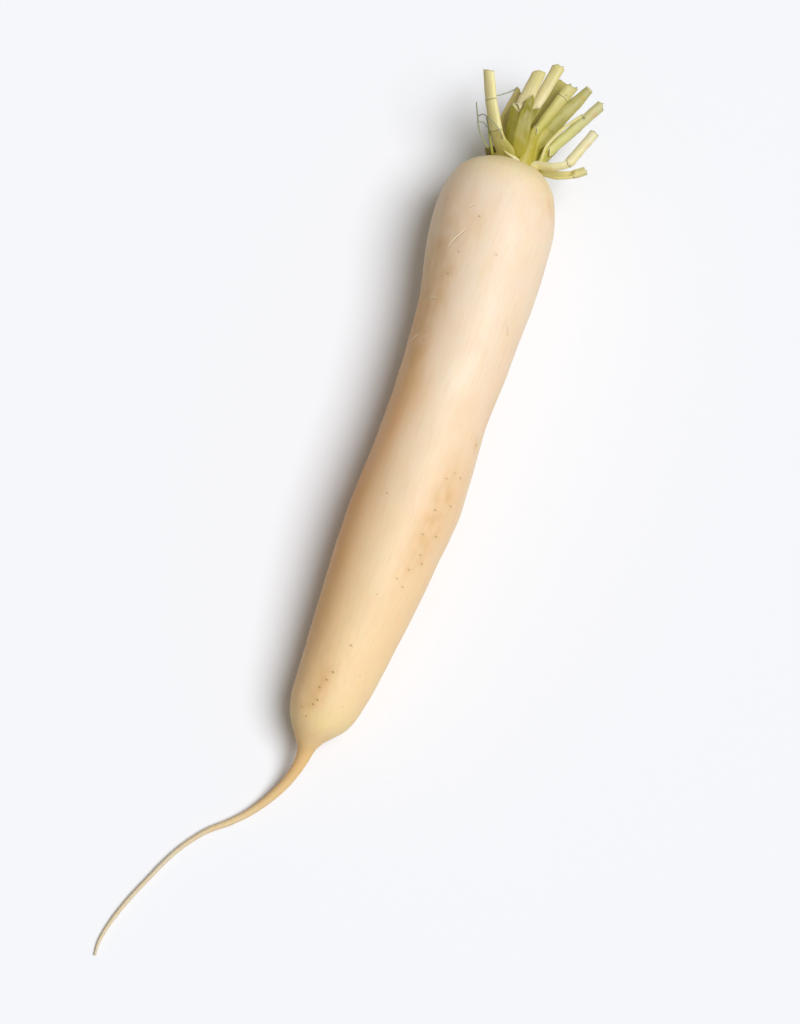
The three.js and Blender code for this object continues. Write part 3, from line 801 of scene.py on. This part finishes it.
# The scale leaf grows from the crown's rim. Its points are measured in mm from the crown's middle: out, to
# the left, and up.
SCALE_LEAF = [[-0.8, -1.8, 14.8], [0.6, 0.6, 15.6], [1.5, 4.2, 16], [2.6, 7.8, 15.6], [4.4, 11, 14.6]]
SCALE_WIDTHS = (1.6, 2.2, 2, 1.3, 0.3)
SCALE_FLATNESS = 0.3
SCALE_STOPS = [(0, "#ded388"), (0.3, "#f3e8b0"), (0.7, "#e6dc96"), (1, "#b9ab48")]

# A dead leaf base: papery, dull and dark where it dried, with an orange fleck of rot; its deep folds carry
# painted shade in their tint.
withered_skin, shader = new_material("withered leaf base")
tint = add_node(withered_skin, "Attribute", attribute_name="tint")
place = add_node(withered_skin, "TexCoord").outputs["Object"]
rot = add_node(withered_skin, "TexNoise", {"Vector": place, "Scale": 1 / (2.4 * MM), "Detail": 3})
rot_share = add_node(withered_skin, "MapRange", {
    "Value": rot.outputs["Fac"], "From Min": 0.58, "From Max": 0.66, "To Max": 0.8,
})
flecked = add_node(withered_skin, "Mix", {
    SHARE: rot_share.outputs[0], FIRST: tint.outputs["Color"], SECOND: linear(FLECK_ORANGE),
}, data_type="RGBA")
withered_skin.node_tree.links.new(flecked.outputs[MIXED], shader.inputs["Base Color"])
shader.inputs["Roughness"].default_value = 0.8


def grow_strand(bm, layer, route, widths, flatness, stops, seed):
    """A thin tube along a route of points in mm from the crown's middle, through widths in mm.

    flatness is its thickness by its width, and stops give its colours from start to end.
    """
    stations = np.array(route) * MM + np.array(crown_middle)
    length = np.linalg.norm(np.diff(stations, axis=0), axis=1).sum()
    shares = np.linspace(0, 1, round(length / STRAND_STEP))
    line = smooth(stations, shares * (len(stations) - 1))
    line = line + STRAND_WANDER * np.stack([waves(line, 3 * MM, seed + k) for k in range(3)], axis=1)
    along = np.gradient(line, axis=0)
    across = np.cross(along, STRAND_SIDE)
    across = across / np.linalg.norm(across, axis=1, keepdims=True)
    over = np.cross(along, across)
    over = over / np.linalg.norm(over, axis=1, keepdims=True)
    turns = np.arange(STRAND_COLUMNS)[:, None] * 2 * math.pi / STRAND_COLUMNS
    half = np.interp(shares, np.linspace(0, 1, len(widths)), widths) / 2 * MM
    half = half * (1 + 0.2 * waves(line, 2 * MM, seed + 4))
    ring = np.cos(turns) * across[:, None] + flatness * np.sin(turns) * over[:, None]
    points = line[:, None] + ring * half[:, None, None]
    colours = graded(np.repeat(shares[:, None], STRAND_COLUMNS, axis=1), stops)
    points = np.concatenate([closing(points[0], (0,), [0]), points, closing(points[-1], (0.6, 0), [0, 0])])
    colours = np.concatenate([colours[:1], colours, np.repeat(colours[-1:], 2, axis=0)])
    grow_skin(bm, points, {layer: colours}, (4, length / MM))


for node, look in SHOOT_LOOKS.items():
    grid = corner_grid(node, crown_middle)
    grid = spread(grid, np.full(len(grid), look["spread"]))
    ring_runs = runs_along(grid.mean(axis=1))
    edge = ring_runs[-1] + 0.5 * MM * ragged(stalk_turns, 31)
    points, runs = tube_between(grid, ring_runs, np.full(STALK_COLUMNS, -SHOOT_SUNK), edge)
    colours = graded(runs, list(zip((0, 0.6 * ring_runs[-1], ring_runs[-1]), look["colours"])))
    folds = look["fold"] * np.abs(np.cos(look["folds"] * stalk_turns / 2 + runs / (9 * MM)))
    lift = look["wrinkle"] * waves(points * (0.4, 1, 1), 1.8 * MM, 41) - folds
    # Painted shade, darker where the wrinkles and folds sink deepest.
    colours = paint(colours, CREASE_SHADE_BROWN, 0.5 * np.clip(-lift - 0.1, 0, 1))
    points = points + outward_normals(points) * (lift * MM)[:, :, None]
    points, colours = add_cut(points, colours, stalk_turns, np.zeros(STALK_COLUMNS))
    points = np.concatenate([closing(points[0], (0,), [0]), points])
    bm = bmesh.new()
    tint_layer = bm.verts.layers.float_color.new("tint")
    grow_skin(bm, points, {tint_layer: np.concatenate([colours[:1], colours])}, (9, np.ptp(runs) / MM))
    if node == "young_stalk":
        grow_strand(bm, tint_layer, SCALE_LEAF, SCALE_WIDTHS, SCALE_FLATNESS, SCALE_STOPS, 51)
    withered = node == "withered_stub"
    skin = withered_skin if withered else green_stalk_skin
    finish_piece(bm, node + "_skin", skin, "withered_leaf" if withered else "stalk_green", node)

# ---- Torn threads ----------------------------------------------------------------------------------------
# Stringy ribs that came off the stalks and dried thin and grey-green. One forks twice and stands as a loop
# at the left. The other peeled off the tall left stalk at its upper crease, and runs to the next stalk.
THREAD_GREY = "#9b9e7e"
THREAD_GREEN = "#a3a457"
THREAD_STOPS = [(0, THREAD_GREEN), (0.3, THREAD_GREY), (1, THREAD_GREY)]
THREAD_FLATNESS = 0.75
# Each thread's branches: how thick it is at its start and end, in mm, then its points, measured as the
# solid's: out from the middle of the crown, to the left, and up.
THREADS = {
    "forked_thread": [
        (1.3, 0.7, [[3.4, 15.8, 6.2], [5, 20.2, 9.6], [8, 24, 12.5], [12.6, 27.5, 14.5], [16.9, 29.5, 16],
                    [23.4, 32.4, 16.5], [25, 33, 16.6]]),
        (0.9, 0.6, [[17, 29.6, 16], [17.5, 29, 17], [17.8, 26.4, 20.4], [15.2, 21, 22.8], [11, 14.4, 21.4],
                    [8.6, 11.8, 17.6]]),
        (0.9, 0.6, [[14.4, 28.6, 15.1], [15.2, 26.6, 14.8], [15, 24.6, 14.2], [13.6, 22.6, 13.6]]),
    ],
    "peeled_thread": [
        (0.7, 0.9, [[30.4, 24.8, 22.4], [31, 22.5, 21.2], [34.8, 18.6, 18.5], [38.6, 15.9, 14.5],
                    [42.6, 13.6, 11.8]]),
    ],
}

# Dried leaf fibre: dull, and greener where it still clings to the stalk.
thread_skin, shader = new_material("dried leaf fibre")
tint = add_node(thread_skin, "Attribute", attribute_name="tint")
thread_skin.node_tree.links.new(tint.outputs["Color"], shader.inputs["Base Color"])
shader.inputs["Roughness"].default_value = 0.6
shader.inputs["IOR"].default_value = 1.45

for node, branches in THREADS.items():
    bm = bmesh.new()
    tint_layer = bm.verts.layers.float_color.new("tint")
    for branch, (*widths, route) in enumerate(branches):
        grow_strand(bm, tint_layer, route, widths, THREAD_FLATNESS, THREAD_STOPS, 60 + 10 * branch)
    finish_piece(bm, node + "_fibre", thread_skin, "leaf_fibre", node)

# ---- The table top, the lamp and the camera --------------------------------------------------------------
# A pale matt table top. One large soft lamp hangs over the radish's right side, and the room gives the rest
# of the light.
TABLE_REACH = 6  # metres from its middle to its edges
TABLE_SHOWN = "#fafdff"
TABLE_BOUNCE = "#c2b7a3"  # what the table throws back on the radish, less than what it shows
LAMP_TILT = math.radians(24)  # from straight overhead, towards the radish's right
LAMP_LEAN = 0.06  # how far it leans towards the crown, as a share of its height
LAMP_SOFTNESS = math.radians(40)  # how wide the lamp looks from the table
LAMP_POWER = 2.65
LAMP_WHITE = "#fafaff"
ROOM_LIGHT = "#837f79"  # what the room throws on the radish
CAMERA_AIM = Vector((7.2, -21.1, 30)) * MM
CAMERA_DISTANCE = 1371 * MM
CAMERA_ELEVATION = math.radians(80)  # above the tail's side
CAMERA_ROLL = math.radians(18.87)
CAMERA_LENS = 85
SENSOR_WIDTH = 36


def shown_share(material):
    """Is 1 for rays that the camera sees, straight or by way of a gloss or a glass, and otherwise 0."""
    rays = add_node(material, "LightPath").outputs
    bent = add_node(material, "Math", {0: rays["Is Glossy Ray"], 1: rays["Is Transmission Ray"]})
    shown = add_node(material, "Math", {0: rays["Is Camera Ray"], 1: bent.outputs[0]}, use_clamp=True)
    return shown.outputs[0]


# Matt white paint: it has no shine, and takes only the radish's soft shadow.
table_matt, shader = new_material("matt white table top")
table_colour = add_node(table_matt, "Mix", {
    SHARE: shown_share(table_matt), FIRST: linear(TABLE_BOUNCE), SECOND: linear(TABLE_SHOWN),
}, data_type="RGBA")
table_matt.node_tree.links.new(table_colour.outputs[MIXED], shader.inputs["Base Color"])
shader.inputs["Roughness"].default_value = 1
shader.inputs["Specular IOR Level"].default_value = 0
bm = bmesh.new()
bmesh.ops.create_grid(bm, x_segments=1, y_segments=1, size=TABLE_REACH)
mesh = bpy.data.meshes.new("table_top")
bm.to_mesh(mesh)
bm.free()
mesh.materials.append(table_matt)
table = bpy.data.objects.new("table_top", mesh)
bpy.context.scene.collection.objects.link(table)

lamp = bpy.data.lights.new("soft_lamp", "SUN")
lamp.energy = LAMP_POWER
lamp.color = linear(LAMP_WHITE)[:3]
lamp.angle = LAMP_SOFTNESS
lamp_object = bpy.data.objects.new("soft_lamp", lamp)
toward_lamp = Vector((LAMP_LEAN, -math.sin(LAMP_TILT), math.cos(LAMP_TILT)))
lamp_object.rotation_euler = toward_lamp.to_track_quat("Z", "Y").to_euler()
bpy.context.scene.collection.objects.link(lamp_object)

room = bpy.data.worlds.new("pale_room")
bpy.context.scene.world = room
room.use_nodes = True
glow = room.node_tree.nodes["Background"]
seen = add_node(room, "Mix", {
    SHARE: shown_share(room), FIRST: linear(ROOM_LIGHT), SECOND: linear(TABLE_SHOWN),
}, data_type="RGBA")
room.node_tree.links.new(seen.outputs[MIXED], glow.inputs["Color"])

camera = bpy.data.cameras.new("camera")
camera.lens = CAMERA_LENS
camera.sensor_width = SENSOR_WIDTH
back = Vector((-math.cos(CAMERA_ELEVATION), 0, math.sin(CAMERA_ELEVATION)))
turned = back.to_track_quat("Z", "Y").to_matrix() @ Matrix.Rotation(CAMERA_ROLL, 3, "Z")
camera_object = bpy.data.objects.new("camera", camera)
camera_object.matrix_world = Matrix.Translation(CAMERA_AIM + back * CAMERA_DISTANCE) @ turned.to_4x4()
bpy.context.scene.collection.objects.link(camera_object)
bpy.context.scene.camera = camera_object
bpy.context.scene.view_settings.view_transform = "Standard"
